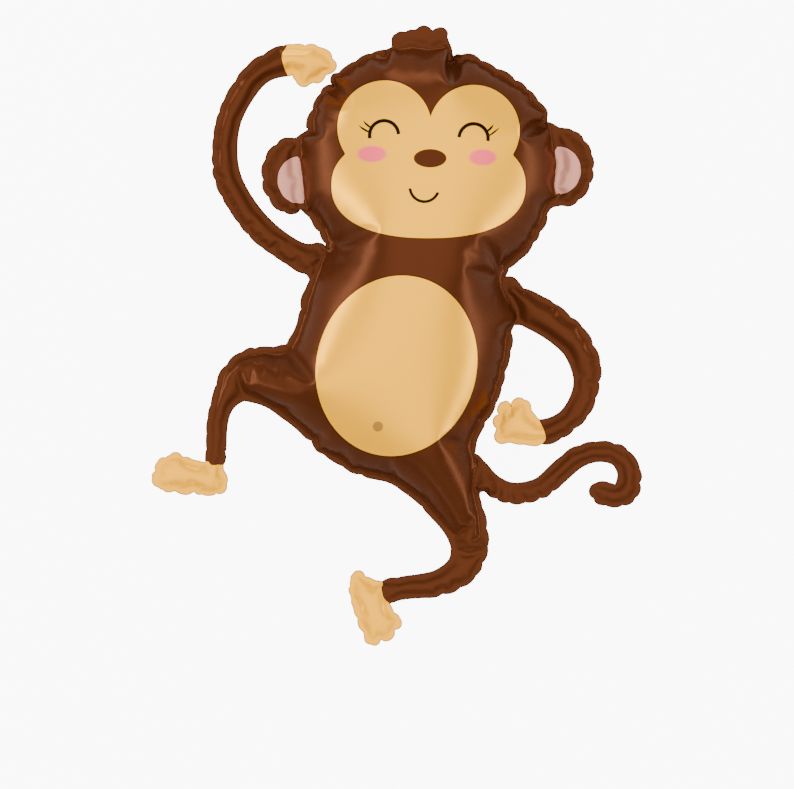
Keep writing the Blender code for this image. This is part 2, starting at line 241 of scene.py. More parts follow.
class Sheet:
    """A flat mesh of the outline: points, triangles, the seam in order, and marks (1 crease, 2 seam)."""

    def __init__(self, outline, creases):
        seam = smooth_curve(outline, SEAM_STEP, True)
        lines = [smooth_curve(crease, FINE_PITCH, False) for crease in creases]
        points = [*seam]
        self.walls = []
        for line in lines:
            first = len(points)
            points += [*line]
            self.walls += [(index, index + 1) for index in range(first, len(points) - 1)]
            for end, index in ((line[0], first), (line[-1], len(points) - 1)):
                self.walls.append((int(np.hypot(*(seam - end).T).argmin()), index))
        crease_end = len(points)
        points += self.inner_points(seam, lines)
        while True:
            flat, _, triangles, sources, _, _ = delaunay_2d_cdt(
                [Vector(point) for point in points], self.walls, [list(range(len(seam)))],
                TRIANGLES_INSIDE, MERGE_GAP,
            )
            self.flat = np.array([tuple(point) for point in flat])
            self.triangles = np.array(triangles)
            first_source = np.array([min(ids) for ids in sources])
            self.marks = np.where(first_source < len(seam), 2, (first_source < crease_end).astype(int))
            edges, uses = unique_edges(self.triangles)
            bridges = edges[(uses == 2) & (self.marks[edges] == 2).all(1)]
            if not len(bridges):
                break
            points += [*self.flat[bridges].mean(1)]
        of_source = {source: index for index, source in enumerate(first_source.tolist())}
        self.walls = {tuple(sorted((of_source[a], of_source[b]))) for a, b in self.walls}
        self.seam = np.array([of_source[index] for index in range(len(seam))])
        self.count = len(self.flat)
        self.first, self.second, self.weight, self.area = stiffness(self.flat, self.triangles)

    @staticmethod
    def inner_points(seam, lines):
        ring = np.vstack([seam, seam[:1]])
        points = []
        for pitch, least, most in (
            (FINE_PITCH, SEAM_CLEARANCE, WIDE_DEPTH),
            (WIDE_PITCH, WIDE_DEPTH, math.inf),
        ):
            grid = hex_points(seam.min(0), seam.max(0), pitch)
            grid = grid[inside_loop(grid, seam)]
            depth = line_distance(grid, ring)
            grid = grid[(depth > least) & (depth <= most)]
            for line in lines:
                grid = grid[line_distance(grid, line) > CREASE_CLEARANCE * pitch]
            points += [*grid]
        return points

    def solve(self, load, fixed, values):
        """The membrane's height under a load, where some points are fixed, by conjugate gradients."""
        height = values.copy()
        diagonal = np.bincount(self.first, self.weight, self.count)
        diagonal += np.bincount(self.second, self.weight, self.count)
        residual = np.where(fixed, 0, load - self.pull(height))
        step = residual / diagonal
        energy = start = (residual * step).sum()
        while energy > SOLVER_ACCURACY * start:
            pulled = np.where(fixed, 0, self.pull(step))
            length = energy / (step * pulled).sum()
            height += length * step
            residual -= length * pulled
            ready = residual / diagonal
            before, energy = energy, (residual * ready).sum()
            step = ready + energy / before * step
        return height

    def pull(self, height):
        return pulled(height, self.first, self.second, self.weight, self.count)

    def spread(self, fixed, moves):
        """Moves of the fixed points, spread smoothly over the whole sheet."""
        none = np.zeros(self.count)
        return np.stack(
            [self.solve(none, fixed, np.where(fixed, moves[:, axis], 0)) for axis in (0, 1)], 1
        )

    def regions(self):
        """Each triangle's region, where the creases part the sheet."""
        owners = {}
        for index, (a, b, c) in enumerate(self.triangles.tolist()):
            for side in ((a, b), (b, c), (c, a)):
                owners.setdefault(tuple(sorted(side)), []).append(index)
        beside = [[] for _ in self.triangles]
        for side, pair in owners.items():
            if len(pair) == 2 and side not in self.walls:
                beside[pair[0]].append(pair[1])
                beside[pair[1]].append(pair[0])
        region = np.full(len(self.triangles), -1)
        for start in range(len(region)):
            ahead = [start] if region[start] < 0 else []
            name = region.max() + 1
            while ahead:
                index = ahead.pop()
                if region[index] < 0:
                    region[index] = name
                    ahead += beside[index]
        return region


def stiffness(flat, triangles):
    """Cotangent weights between points, as two lists of points and their weights, and each point's area."""
    first, second, weight = [], [], []
    area = np.zeros(len(flat))
    for corner in range(3):
        a, b, c = (triangles[:, (corner + turn) % 3] for turn in range(3))
        to_b, to_c = flat[b] - flat[a], flat[c] - flat[a]
        double_area = to_b[:, 0] * to_c[:, 1] - to_b[:, 1] * to_c[:, 0]
        first.append(b)
        second.append(c)
        weight.append((to_b * to_c).sum(1) / double_area / 2)
        area += np.bincount(a, double_area / 6, len(flat))
    return np.concatenate(first), np.concatenate(second), np.concatenate(weight), area


def pulled(height, first, second, weight, count):
    drop = weight * (height[first] - height[second])
    return np.bincount(first, drop, count) - np.bincount(second, drop, count)


def smooth_round(values, points, width):
    """Values round a closed loop of points, averaged over a width."""
    step = np.hypot(*(np.roll(points, -1, 0) - points).T).mean()
    reach = math.ceil(SMOOTHING_REACH * width / step)
    offsets = np.arange(-reach, reach + 1)
    shares = np.exp(-0.5 * (offsets * step / width) ** 2)
    shares /= shares.sum()
    return sum(share * np.roll(values, -offset, axis=0) for offset, share in zip(offsets, shares))


def outward(points):
    """Unit vectors out of an anticlockwise loop of points."""
    along = np.roll(points, -1, 0) - np.roll(points, 1, 0)
    return np.stack([along[:, 1], -along[:, 0]], 1) / np.maximum(np.hypot(*along.T), TINY)[:, None]


def region_rim(triangles):
    """The points round one region, in order."""
    sides = {side for a, b, c in triangles.tolist() for side in ((a, b), (b, c), (c, a))}
    after = {a: b for a, b in sides if (b, a) not in sides}
    rim = [min(after)]
    while after[rim[-1]] != rim[0]:
        rim.append(after[rim[-1]])
    return rim


def flat_pattern(sheet, region):
    """Where each point of the sheet lies in the flat foil, before it is blown up."""
    height = sheet.solve(2 * sheet.area, sheet.marks > 0, np.zeros(sheet.count))
    trunk = np.bincount(region).argmax()
    grown = {}
    for name in range(region.max() + 1):
        triangles = sheet.triangles[region == name]
        first, second, weight, area = stiffness(sheet.flat, triangles)
        push = 2 * area - pulled(height, first, second, weight, sheet.count)
        rim = region_rim(triangles)
        points = sheet.flat[rim]
        lengths = np.hypot(*(np.roll(points, -1, 0) - points).T)
        slope = push[rim] / ((lengths + np.roll(lengths, 1)) / 2)
        slope = np.clip(smooth_round(slope, points, SLOPE_SMOOTHING), 0, STEEPEST)
        moves = smooth_round(outward(points) * slope[:, None], points, GROWTH_SMOOTHING) * PATTERN_GROWTH
        grown[name] = dict(zip(rim, moves))
    moves = np.zeros((sheet.count, 2))
    for name, rim in grown.items():
        shared = [index for index in rim if index in grown[trunk] and sheet.marks[index] == 1]
        shift = np.mean([grown[trunk][index] - rim[index] for index in shared], axis=0)
        for index, move in rim.items():
            moves[index] = move + shift
    for index, move in grown[trunk].items():
        moves[index] = move
    moves[sheet.seam] = smooth_round(moves[sheet.seam], sheet.flat[sheet.seam], GROWTH_SMOOTHING)
    return sheet.flat + sheet.spread(sheet.marks > 0, moves)


def two_sheets(sheet):
    """Triangles of front and back, each back point's number, and how many points there are."""
    free = sheet.marks != 2
    back = np.arange(sheet.count)
    back[free] = sheet.count + np.arange(free.sum())
    triangles = np.vstack([sheet.triangles, back[sheet.triangles][:, ::-1]])
    return triangles, back, sheet.count + free.sum()


def opposite_corners(triangles):
    """Pairs of corners that face each other across an edge."""
    facing = {}
    pairs = []
    for a, b, c in triangles.tolist():
        for side, corner in (((a, b), c), ((b, c), a), ((c, a), b)):
            side = tuple(sorted(side))
            if side in facing:
                pairs.append((facing[side], corner))
            else:
                facing[side] = corner
    return np.array(pairs)


def in_groups(pairs, count):
    """Numbers of the pairs in groups, so that no point is twice in one group."""
    used = [0] * count
    group = np.empty(len(pairs), int)
    for index, (a, b) in enumerate(pairs.tolist()):
        taken = used[a] | used[b]
        free = (~taken & (taken + 1)).bit_length() - 1
        group[index] = free
        used[a] |= 1 << free
        used[b] |= 1 << free
    return [np.flatnonzero(group == name) for name in range(group.max() + 1)]


class Springs:
    """Pairs of points that keep their length in the flat pattern."""

    def __init__(self, pairs, count):
        groups = in_groups(pairs, count)
        self.pairs = pairs[np.concatenate(groups)]
        self.ends = np.cumsum([len(group) for group in groups])[:-1]
        self.lengths = None

    def measure(self, pattern, least):
        gaps = pattern[self.pairs[:, 0]] - pattern[self.pairs[:, 1]]
        self.lengths = np.maximum(np.hypot(*gaps.T), least)

    def relax(self, points, pull, push):
        for pairs, lengths in zip(np.split(self.pairs, self.ends), np.split(self.lengths, self.ends)):
            a, b = pairs.T
            gap = points[a] - points[b]
            length = np.sqrt((gap * gap).sum(1))
            over = length - lengths
            over *= np.where(over < 0, push, pull) * 0.5 / np.maximum(length, TINY)
            gap *= over[:, None]
            points[a] -= gap
            points[b] += gap


def blow_up(sheet, pattern, steps):
    """Both sheets' points when the balloon is full, over the seam's height."""
    triangles, back, count = two_sheets(sheet)
    free = sheet.marks != 2
    both = np.empty((count, 2))
    drawn = np.empty((count, 2))

    def spread_pattern():
        both[: sheet.count] = pattern
        both[back] = pattern

    spread_pattern()
    drawn[: sheet.count] = sheet.flat
    drawn[back] = sheet.flat
    height = sheet.solve(2 * sheet.area, sheet.marks > 0, np.zeros(sheet.count))
    height = START_RISE * MEMBRANE_RISE * np.sqrt(np.maximum(height, 0))
    points = np.zeros((count, 3))
    points[:, :2] = both
    points[: sheet.count, 2] = height
    points[back[free], 2] = -height[free]
    points[:, 2] += np.random.default_rng(SEED).normal(0, START_NOISE, count)

    edges, _ = unique_edges(triangles)
    stretch = Springs(edges, count)
    across = opposite_corners(triangles)
    across = across[across[:, 0] != across[:, 1]]
    bend = Springs(across, count)
    least = LEAST_STRETCH * np.hypot(*(drawn[stretch.pairs[:, 0]] - drawn[stretch.pairs[:, 1]]).T)
    stretch.measure(both, least)
    bend.measure(both, SHORTEST_BEND)

    crease = np.flatnonzero(sheet.marks == 1)
    speed = np.zeros_like(points)
    corners = triangles.ravel()
    target = sheet.flat.copy()
    target[sheet.seam] -= outward(sheet.flat[sheet.seam]) * RIM_WIDTH
    push = None
    for step in range(steps):
        if step % 2 == 0:
            a, b, c = points[triangles[:, 0]], points[triangles[:, 1]], points[triangles[:, 2]]
            normal = np.cross(b - a, c - a)
            push = PRESSURE * np.stack(
                [np.bincount(corners, np.repeat(normal[:, axis], 3), count) for axis in range(3)], 1
            )
        before = points.copy()
        points += speed + push
        stretch.relax(points, 1.0, SQUEEZE_STIFFNESS)
        bend.relax(points, BEND_STIFFNESS, BEND_STIFFNESS)
        gap = points[crease] - points[back[crease]]
        length = np.sqrt((gap * gap).sum(1))
        over = np.maximum(length - 2 * CREASE_HALF_THICKNESS, 0)
        gap *= (0.5 * over / np.maximum(length, TINY))[:, None]
        points[crease] -= gap
        points[back[crease]] += gap
        points[sheet.seam, 2] *= 1 - SEAM_LEVELLING
        speed = (points - before) * DAMPING
        pace = np.sqrt((speed * speed).sum(1))
        speed *= np.minimum(1, TOP_SPEED / np.maximum(pace, TINY))[:, None]
        if step in FIX_STEPS or step == steps - 1:
            width = POSE_SMOOTHING if step in FIX_STEPS else LAST_SMOOTHING
            moves = pose_moves(sheet, points, target, width)
            points[: sheet.count, :2] += moves
            points[back[free], :2] += moves[free]
            pattern = pattern + moves
            spread_pattern()
            stretch.measure(both, least)
            bend.measure(both, SHORTEST_BEND)
    points[:, 2] -= points[sheet.seam, 2].mean()
    return points, triangles, back


def pose_moves(sheet, points, target, width):
    """Slow moves over the sheet that bring the seam back to the outline, and leave its puckers."""
    moves = np.zeros((sheet.count, 2))
    away = target[sheet.seam] - points[sheet.seam, :2]
    moves[sheet.seam] = smooth_round(away, sheet.flat[sheet.seam], width)
    return sheet.spread(sheet.marks == 2, moves)


def slack(sheet, pattern):
    """How far the seam is gathered at each of its points, from 0 to 1."""
    flat, drawn = pattern[sheet.seam], sheet.flat[sheet.seam]
    excess = np.hypot(*(np.roll(flat, -1, 0) - flat).T) / np.hypot(*(np.roll(drawn, -1, 0) - drawn).T) - 1
    excess = np.clip(smooth_round(excess, drawn, SLOPE_SMOOTHING) / CUSP_EXCESS, 0, 1)
    values = np.zeros(sheet.count)
    values[sheet.seam] = excess
    return values


def gather(points, loop, amount):
    """Draws the seam in at uneven cusps, with a groove that fades inwards from each."""
    seam = points[loop]
    along = np.cumsum(np.hypot(*(np.roll(seam, -1, 0) - seam)[:, :2].T))
    random = np.random.default_rng(SEED)
    gaps = random.uniform(*CUSP_GAPS, math.ceil(along[-1] / CUSP_GAPS[0]))
    cusps = np.concatenate([[0], np.cumsum(gaps)])
    after = np.searchsorted(cusps, along)
    share = (along - cusps[after - 1]) / (cusps[after] - cusps[after - 1])
    cusp_shares = random.uniform(*CUSP_SHARES, len(cusps))[after - (share < 0.5)]
    depth = np.abs(2 * share - 1) ** 2 * cusp_shares * amount[loop]
    inward = -outward(smooth_round(seam[:, :2], seam[:, :2], GROWTH_SMOOTHING))
    tree = KDTree(len(loop))
    for index, point in enumerate(seam):
        tree.insert((point[0], point[1], 0), index)
    tree.balance()
    near = [tree.find((point[0], point[1], 0)) for point in points]
    nearest = np.array([found[1] for found in near])
    fade = depth[nearest] * np.exp(-np.array([found[2] for found in near]) / GROOVE_LENGTH)
    moved = points.copy()
    moved[:, :2] += inward[nearest] * (CUSP_DEPTH * fade)[:, None]
    moved[:, 2] *= 1 - GROOVE_SINK * fade
    return moved


def subdivide(points, triangles, sharp):
    """One round of Loop subdivision, with its usual weights, and the halves of the sharp edges.

    The sharp edges keep their line.
    """
    count = len(points)
    sides = np.vstack([triangles[:, (0, 1)], triangles[:, (1, 2)], triangles[:, (2, 0)]])
    edges, which = np.unique(np.sort(sides, axis=1), axis=0, return_inverse=True)
    which = which.reshape(-1)
    opposite = np.concatenate([triangles[:, 2], triangles[:, 0], triangles[:, 1]])
    facing = np.zeros((len(edges), points.shape[1]))
    for axis in range(points.shape[1]):
        facing[:, axis] = np.bincount(which, points[opposite, axis], len(edges))
    sharp_set = {tuple(sorted(pair)) for pair in sharp.tolist()}
    is_sharp = np.array([tuple(edge) in sharp_set for edge in edges.tolist()])
    ends = points[edges].sum(1)
    middle = np.where(is_sharp[:, None], ends / 2, 3 / 8 * ends + 1 / 8 * facing)

    degree = np.bincount(edges.ravel(), minlength=count)
    around = neighbour_sum(points, edges, count)
    share = (5 / 8 - (3 / 8 + np.cos(2 * math.pi / degree) / 4) ** 2) / degree
    moved = points * (1 - degree * share)[:, None] + around * share[:, None]
    sharp_edges = edges[is_sharp]
    sharp_degree = np.bincount(sharp_edges.ravel(), minlength=count)
    sharp_around = neighbour_sum(points, sharp_edges, count)
    on_line = sharp_degree == 2
    moved[on_line] = 3 / 4 * points[on_line] + 1 / 8 * sharp_around[on_line]

    ab, bc, ca = (which + count).reshape(3, -1)
    a, b, c = triangles.T
    corners = ((a, ab, ca), (b, bc, ab), (c, ca, bc), (ab, bc, ca))
    finer = np.vstack([np.stack(three, 1) for three in corners])
    halves = np.flatnonzero(is_sharp) + count
    split = np.vstack([np.stack([sharp_edges[:, 0], halves], 1), np.stack([halves, sharp_edges[:, 1]], 1)])
    return np.vstack([moved, middle]), finer, split


def neighbour_sum(points, edges, count):
    both = np.vstack([edges, edges[:, ::-1]])
    return np.stack(
        [np.bincount(both[:, 0], points[both[:, 1], axis], count) for axis in range(points.shape[1])], 1
    )


def rim_widths(seam):
    """The rim's width at each point of the seam, narrower where another stretch of it is near."""
    widths = np.full(len(seam), RIM_WIDTH)
    step = np.sqrt(((np.roll(seam, -1, 0) - seam) ** 2).sum(1)).mean()
    near = math.ceil(RIM_NEIGHBOURS * RIM_WIDTH / step)
    for index, point in enumerate(seam):
        others = np.roll(seam, -index - near, 0)[: len(seam) - 2 * near]
        widths[index] = min(RIM_WIDTH, RIM_CLEARANCE * np.sqrt(((others - point) ** 2).sum(1)).min())
    return smooth_round(widths, seam[:, :2], step)


def seam_loop(points, seam_edges):
    """The seam's points in anticlockwise order."""
    loop = np.array(closed_loop(seam_edges.tolist()))
    flat = points[loop, :2]
    ahead = np.roll(flat, -1, 0)
    return loop[::-1] if (flat[:, 0] * ahead[:, 1] - flat[:, 1] * ahead[:, 0]).sum() < 0 else loop


def add_rim(points, triangles, front_count, seam_edges, facts):
    """Opens the seam by the foil's thickness and adds the welded rim round it."""
    loop = seam_loop(points, seam_edges)
    place_of = np.zeros(len(points), int) - 1
    place_of[loop] = np.arange(len(loop))
    is_front = np.arange(len(triangles)) < front_count
    edges, _ = unique_edges(triangles)
    mixed = edges[(place_of[edges] >= 0).sum(1) == 1]
    seam_side = np.where(place_of[mixed[:, 0]] >= 0, mixed[:, 0], mixed[:, 1])
    inner_side = mixed.sum(1) - seam_side
    inward = np.zeros((len(loop), 3))
    for axis in range(3):
        inward[:, axis] = np.bincount(
            place_of[seam_side], (points[inner_side] - points[seam_side])[:, axis], len(loop)
        )
    along = points[np.roll(loop, -1)] - points[np.roll(loop, 1)]
    along /= np.sqrt((along**2).sum(1))[:, None]
    away = -inward + (inward * along).sum(1)[:, None] * along
    away /= np.maximum(np.sqrt((away**2).sum(1)), TINY)[:, None]
    level = outward(points[loop, :2])
    away[:, :2] = (1 - RIM_FLATTENING) * away[:, :2] + RIM_FLATTENING * level
    away = smooth_round(away, points[loop, :2], RIM_SMOOTHING)
    away /= np.sqrt((away**2).sum(1))[:, None]
    up = np.cross(away, along)
    up *= np.sign(up[:, 2:3])
    up /= np.sqrt((up**2).sum(1))[:, None]
    seam = points[loop]
    outer = seam + away * rim_widths(seam)[:, None]
    lift = up * RIM_HALF_THICKNESS
    count = len(points)
    size = len(loop)
    points = points.copy()
    points[loop] = seam + lift
    points = np.vstack([points, seam - lift, outer + lift, outer - lift])
    low_inner, high_outer, low_outer = (count + size * turn + np.arange(size) for turn in range(3))
    swap = np.arange(count)
    swap[loop] = low_inner
    triangles = np.where(is_front[:, None], triangles, swap[triangles])
    strips = []
    for one, other in ((loop, high_outer), (high_outer, low_outer), (low_outer, low_inner)):
        one_next, other_next = np.roll(one, -1), np.roll(other, -1)
        strips += [np.stack([one, other, other_next], 1), np.stack([one, other_next, one_next], 1)]
    triangles = np.vstack([triangles, *strips])
    grown = {name: np.concatenate([values, *[values[loop]] * 3]) for name, values in facts.items()}
    rim = np.zeros(len(points))
    rim[high_outer] = 1
    rim[low_outer] = 1
    return points, triangles, grown, rim


def wire(tree, value, socket):
    """Sets an input to a number, a colour or a vector, or links it to another node's output."""
    if isinstance(value, bpy.types.NodeSocket):
        tree.links.new(value, socket)
    else:
        socket.default_value = value


def calc(tree, operation, *values):
    node = tree.nodes.new("ShaderNodeMath")
    node.operation = operation
    for value, socket in zip(values, node.inputs):
        wire(tree, value, socket)
    return node.outputs[0]


def below(tree, value, edge, softness):
    """1 where the value is under the edge, 0 over it."""
    node = tree.nodes.new("ShaderNodeMapRange")
    node.interpolation_type = "SMOOTHSTEP"
    wire(tree, value, node.inputs["Value"])
    node.inputs["From Min"].default_value = edge - softness
    node.inputs["From Max"].default_value = edge + softness
    node.inputs["To Min"].default_value = 1.0
    node.inputs["To Max"].default_value = 0.0
    return node.outputs[0]


def mix(tree, share, first, second, blend="MIX"):
    node = tree.nodes.new("ShaderNodeMix")
    node.data_type = "RGBA"
    node.blend_type = blend
    wire(tree, share, node.inputs["Factor"])
    wire(tree, first, node.inputs["A"])
    wire(tree, second, node.inputs["B"])
    return node.outputs["Result"]


def attribute(tree, name):
    node = tree.nodes.new("ShaderNodeAttribute")
    node.attribute_name = name
    return node


def from_point(tree, spot, centre):
    """The print's place less a centre, as across and up."""
    node = tree.nodes.new("ShaderNodeVectorMath")
    node.operation = "SUBTRACT"
    wire(tree, spot, node.inputs[0])
    node.inputs[1].default_value = (*centre, 0)
    split = tree.nodes.new("ShaderNodeSeparateXYZ")
    tree.links.new(node.outputs[0], split.inputs[0])
    return split.outputs["X"], split.outputs["Y"]


def oval_distance(tree, spot, centre, half_width, half_height, power=2.0, lean=0.0):
    """Rough distance in metres from the edge of an oval, negative inside. Lean shears it."""
    x, y = from_point(tree, spot, centre)
    x = calc(tree, "DIVIDE", x, half_width)
    y = calc(tree, "DIVIDE", y, half_height)
    across = calc(tree, "POWER", calc(tree, "ABSOLUTE", x), power)
    up = calc(tree, "POWER", calc(tree, "ABSOLUTE", y), power)
    total = calc(tree, "ADD", across, up)
    if lean:
        total = calc(tree, "MULTIPLY_ADD", calc(tree, "MULTIPLY", x, y), lean, total)
    reach = calc(tree, "POWER", total, 1 / power)
    return calc(tree, "MULTIPLY", calc(tree, "SUBTRACT", reach, 1.0), (half_width + half_height) / 2)


def arc_mask(tree, spot, start, middle, end, width):
    """1 on a stroke that runs as an arc through three points."""
    start, middle, end = (np.array(point) for point in (start, middle, end))
    system = 2 * np.array([middle - start, end - start])
    centre = np.linalg.solve(system, [middle @ middle - start @ start, end @ end - start @ start])
    radius = math.dist(centre, start)
    x, y = from_point(tree, spot, centre)
    squares = [calc(tree, "MULTIPLY", side, side) for side in (x, y)]
    length = calc(tree, "SQRT", calc(tree, "ADD", *squares))
    off = calc(tree, "ABSOLUTE", calc(tree, "SUBTRACT", length, radius))
    chord = (end - start) / math.dist(end, start)
    side = np.array((-chord[1], chord[0]))
    if (middle - start) @ side < 0:
        side = -side
    depth = calc(tree, "MULTIPLY_ADD", x, float(side[0]), calc(tree, "MULTIPLY", y, float(side[1])))
    cut = calc(tree, "SUBTRACT", float((start - centre) @ side), depth)
    inside = calc(tree, "MAXIMUM", calc(tree, "SUBTRACT", off, width / 2), cut)
    return below(tree, inside, 0.0, PRINT_SOFTNESS)


# Colours of the print's inks, and the painted shade of the welded rim.
BROWN = (0.067, 0.0172, 0.0054, 1)
DARK_BROWN = (0.038, 0.0080, 0.0030, 1)
CREAM = (1.0, 0.445, 0.0, 1)
HAND_CREAM = (1.0, 0.425, 0.0, 1)
# The two rim colours are painted shade: the welded rim is darker than the foil beside it, brown on the brown
# foil and tan on the cream.
PAINTED_RIM_SHADE_TAN = (0.36, 0.170, 0.045, 1)
PAINTED_RIM_SHADE_BROWN = (0.036, 0.0080, 0.0028, 1)
EAR_PINK = (0.54, 0.230, 0.170, 1)
CHEEK_PINK = (0.95, 0.100, 0.140, 1)
NOSE_BROWN = (0.060, 0.0152, 0.0044, 1)
NAVEL_TAN = (0.42, 0.185, 0.027, 1)
LINE_BLACK = (0.004, 0.003, 0.003, 1)

# How soft the print's edges are, and how wide its lines.
PRINT_SOFTNESS = 0.0003
FACE_FILLET = 0.004
# How much painted shade is laid over the welded rim's own colour.
PAINTED_RIM_SHADE = 0.85
LINE_WIDTH = 0.0012
EYE_WIDTH = 0.0044
LASH_WIDTH = 0.0029
MOUTH_WIDTH = 0.0036
CHEEK_SOFTNESS = 0.0022

# An oval of the print is its centre, half width, half height, squareness and lean.
LEFT_LOBE = (place(-14.6, 253.1), 0.0579, 0.0579, 2.0, 0.0)
RIGHT_LOBE = (place(94.5, 249.5), 0.0561, 0.0561, 2.0, 0.0)
MUZZLE = (place(39.0, 182.4), 0.1189, 0.0647, 2.3, 0.0)
BELLY = (place(0.0, -37.2), 0.0988, 0.1102, 2.0, -0.14)
NOSE = (place(40.9, 215.3), 0.0199, 0.0112, 2.0, 0.0)
LEFT_CHEEK = (place(-29.9, 220.7), 0.0176, 0.0098, 2.0, 0.0)
RIGHT_CHEEK = (place(105.0, 216.5), 0.0165, 0.0098, 2.0, 0.0)
NAVEL = (place(-22.6, -110.9), 0.0063, 0.0063, 2.0, 0.0)
# A stroke is an arc through three points.
LEFT_EYE = (place(-32.3, 239.7), place(-12.8, 261.1), place(2.4, 244.6))
RIGHT_EYE = (place(76.2, 240.9), place(90.9, 257.2), place(111.1, 236.4))
MOUTH = (place(16.5, 178.7), place(33.5, 162.5), place(50.3, 173.8))
LASHES = (
    (place(-29.9, 253.1), place(-34.8, 255.6), place(-38.4, 259.9)),
    (place(-32.3, 247.8), place(-38.4, 250.2), place(-43.3, 254.4)),
    (place(108.4, 248.2), place(113.4, 250.9), place(116.5, 255.6)),
    (place(111.9, 243.6), place(117.3, 246.6), place(122.0, 250.9)),
)
# The ears' pink, as ovals.
LEFT_EAR_PRINT = (place(-117.7, 189.7), 0.0281, 0.0299, 2.0, 0.0)
RIGHT_EAR_PRINT = (place(197.0, 201.3), 0.0287, 0.0299, 2.0, 0.0)


def ink(tree, spot, front):
    """The printed colours of both sheets, with painted shade darkening the welded rim."""
    rim = attribute(tree, "rim").outputs["Fac"]
    cream_edge = attribute(tree, "cream_edge").outputs["Fac"]
    ear_edge = attribute(tree, "ear_edge").outputs["Fac"]
    lobes = [oval_distance(tree, spot, *lobe) for lobe in (LEFT_LOBE, RIGHT_LOBE)]
    lobes = calc(tree, "MINIMUM", *lobes)
    face = calc(tree, "SMOOTH_MIN", lobes, oval_distance(tree, spot, *MUZZLE), FACE_FILLET)
    patches = calc(tree, "MINIMUM", face, oval_distance(tree, spot, *BELLY))
    hidden = calc(tree, "MULTIPLY_ADD", front, -1.0, 1.0)
    patches = calc(tree, "ADD", patches, hidden)
    ears = calc(tree, "ADD", ear_edge, hidden)

    shade = mix(tree, below(tree, patches, 0.0, PRINT_SOFTNESS), BROWN, CREAM)
    shade = mix(tree, below(tree, ears, 0.0, PRINT_SOFTNESS), shade, EAR_PINK)
    cream = below(tree, cream_edge, 0.0, PRINT_SOFTNESS)
    shade = mix(tree, cream, shade, HAND_CREAM)
    edges = calc(tree, "MINIMUM", calc(tree, "ABSOLUTE", patches), calc(tree, "ABSOLUTE", ears))
    edges = calc(tree, "MINIMUM", edges, calc(tree, "ABSOLUTE", cream_edge))
    shade = mix(tree, below(tree, edges, LINE_WIDTH / 2, PRINT_SOFTNESS), shade, DARK_BROWN)
    for cheek in (LEFT_CHEEK, RIGHT_CHEEK):
        blush = below(tree, oval_distance(tree, spot, *cheek), 0.0, CHEEK_SOFTNESS)
        shade = mix(tree, calc(tree, "MULTIPLY", blush, front), shade, CHEEK_PINK)
    for oval, tone in ((NOSE, NOSE_BROWN), (NAVEL, NAVEL_TAN)):
        mark = below(tree, oval_distance(tree, spot, *oval), 0.0, PRINT_SOFTNESS)
        shade = mix(tree, calc(tree, "MULTIPLY", mark, front), shade, tone)
    strokes = [(LEFT_EYE, EYE_WIDTH), (RIGHT_EYE, EYE_WIDTH), (MOUTH, MOUTH_WIDTH)]
    strokes += [(lash, LASH_WIDTH) for lash in LASHES]
    drawn = 0.0
    for arc, width in strokes:
        drawn = calc(tree, "MAXIMUM", arc_mask(tree, spot, *arc, width), drawn)
    shade = mix(tree, calc(tree, "MULTIPLY", drawn, front), shade, LINE_BLACK)
    # Painted shade: the welded rim is darkened to brown on the brown foil and to tan on the cream.
    edge = mix(tree, cream, PAINTED_RIM_SHADE_BROWN, PAINTED_RIM_SHADE_TAN)
    return mix(tree, calc(tree, "MULTIPLY", rim, PAINTED_RIM_SHADE), shade, edge)


# The foil's finish: a faint unevenness of tone and of gloss, and a barely raised skin.
FOIL_METALLIC = 0.3
FOIL_SPECULAR = 0.08
FOIL_TINT = (1.0, 0.62, 0.36, 1)
FOIL_ROUGHNESS = (0.26, 0.33)
GRAIN_SCALE = 60.0
BUMP_SCALE = 70.0
NOISE_DETAIL = 2.0
BUMP_STRENGTH = 0.05
BUMP_DEPTH = 0.0004
CLOUD_SCALE = 9.0
CLOUD_TONES = (0.95, 1.05)


def noise(tree, scale, coordinate):
    node = tree.nodes.new("ShaderNodeTexNoise")
    node.inputs["Scale"].default_value = scale
    node.inputs["Detail"].default_value = NOISE_DETAIL
    tree.links.new(coordinate, node.inputs["Vector"])
    return node.outputs["Fac"]


def printed_foil():
    material = bpy.data.materials.new("printed_foil")
    material.use_nodes = True
    tree = material.node_tree
    shader = tree.nodes["Principled BSDF"]
    spot = attribute(tree, "print_place").outputs["Vector"]
    front = attribute(tree, "front").outputs["Fac"]
    body = tree.nodes.new("ShaderNodeTexCoord").outputs["Object"]
    shade = ink(tree, spot, front)
    cloud = noise(tree, CLOUD_SCALE, body)
    tone = tree.nodes.new("ShaderNodeMapRange")
    tree.links.new(cloud, tone.inputs["Value"])
    tone.inputs["To Min"].default_value = CLOUD_TONES[0]
    tone.inputs["To Max"].default_value = CLOUD_TONES[1]
    grey = tree.nodes.new("ShaderNodeCombineColor")
    for channel in range(3):
        tree.links.new(tone.outputs[0], grey.inputs[channel])
    shade = mix(tree, 1.0, shade, grey.outputs[0], "MULTIPLY")
    tree.links.new(shade, shader.inputs["Base Color"])
    grain = noise(tree, GRAIN_SCALE, body)
    rough = tree.nodes.new("ShaderNodeMapRange")
    tree.links.new(grain, rough.inputs["Value"])
    rough.inputs["To Min"].default_value = FOIL_ROUGHNESS[0]
    rough.inputs["To Max"].default_value = FOIL_ROUGHNESS[1]
    tree.links.new(rough.outputs[0], shader.inputs["Roughness"])
    shader.inputs["Metallic"].default_value = FOIL_METALLIC
    shader.inputs["Specular IOR Level"].default_value = FOIL_SPECULAR
    shader.inputs["Specular Tint"].default_value = FOIL_TINT
    bump = tree.nodes.new("ShaderNodeBump")
    bump.inputs["Strength"].default_value = BUMP_STRENGTH
    bump.inputs["Distance"].default_value = BUMP_DEPTH
    tree.links.new(noise(tree, BUMP_SCALE, body), bump.inputs["Height"])
    tree.links.new(bump.outputs[0], shader.inputs["Normal"])
    return material


